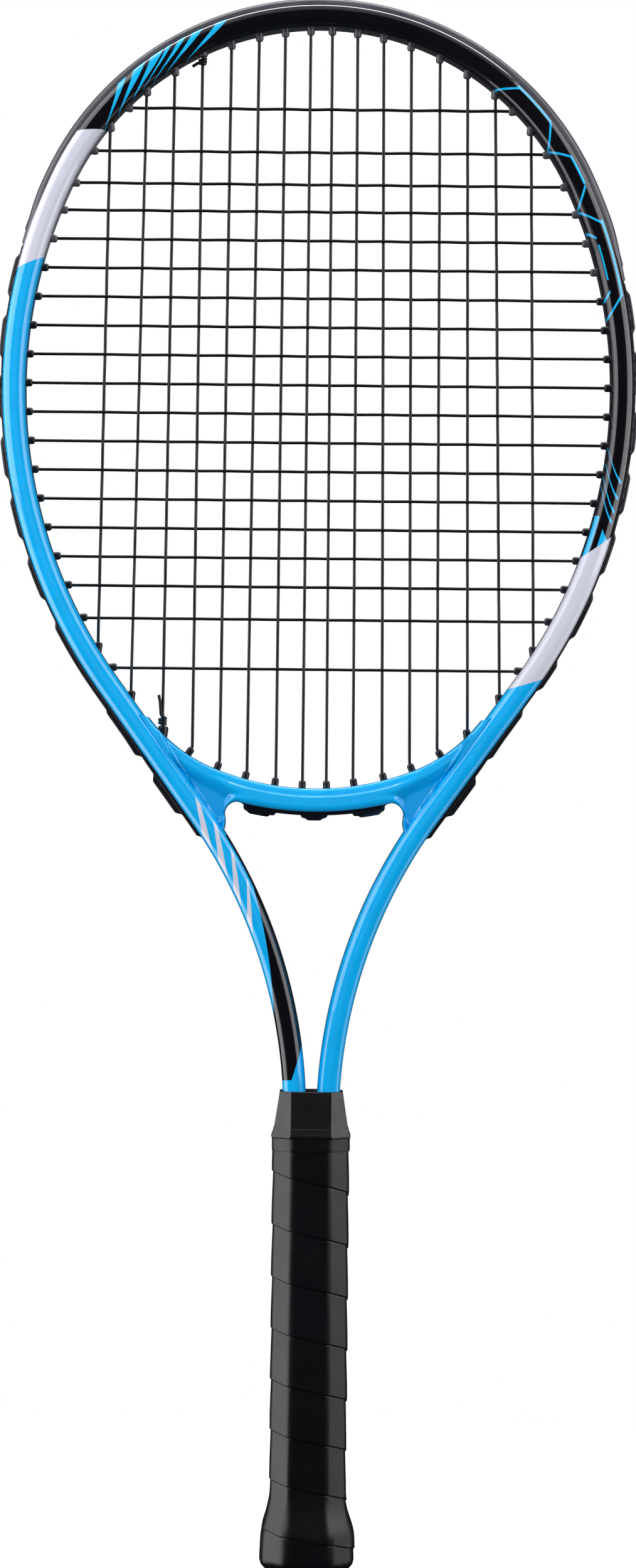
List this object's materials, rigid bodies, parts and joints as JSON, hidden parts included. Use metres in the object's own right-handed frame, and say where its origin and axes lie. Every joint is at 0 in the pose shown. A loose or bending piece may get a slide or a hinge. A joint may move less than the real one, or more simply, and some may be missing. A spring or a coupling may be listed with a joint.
{
  "type": "tennis racket",
  "caption": "Tennis racket with a bent oval tubular head, open throat bridge, woven string bed and an octagonal wrapped grip.",
  "frame": {"origin": "centre of the flat butt end face of the handle", "axes": "+Z along the racket from the butt end to the crown of the head, +X across the head, the front string face looks along -Y"},
  "size_m": [0.28, 0.0384, 0.6858],
  "materials": {
    "frame_paint": "high gloss lacquer in sky blue, lavender white and black zones",
    "bridge_paint": "high gloss sky blue lacquer",
    "plated_steel": "zinc plated",
    "bumper_plastic": "satin moulded nylon",
    "strip_nylon": "satin moulded nylon",
    "string_filament": "smooth monofilament with a soft sheen",
    "handle_core": "raw moulded plastic",
    "cap_plastic": "satin moulded plastic",
    "badge_enamel": "gloss disc",
    "grip_leather": "cushioned synthetic leather with fine grain",
    "tape_vinyl": "thin stretched vinyl tape",
    "collar_rubber": "smooth satin rubber"
  },
  "bodies": {
    "root": {"frame_tube": "frame_paint", "throat_bridge": "bridge_paint", "bridge_screws": "plated_steel", "bumper_guard": "bumper_plastic", "grommet_strip_left": "strip_nylon", "grommet_strip_right": "strip_nylon", "bridge_grommet_strip": "strip_nylon", "shoulder_bushes": "strip_nylon", "string": "string_filament", "string_knot_lower": "string_filament", "string_knot_upper": "string_filament", "pallet_front": "handle_core", "pallet_back": "handle_core", "butt_cap": "cap_plastic", "butt_badge": "badge_enamel", "butt_staples": "plated_steel", "grip_wrap": "grip_leather", "finishing_tape": "tape_vinyl", "grip_collar": "collar_rubber"}
  },
  "joints": []
}
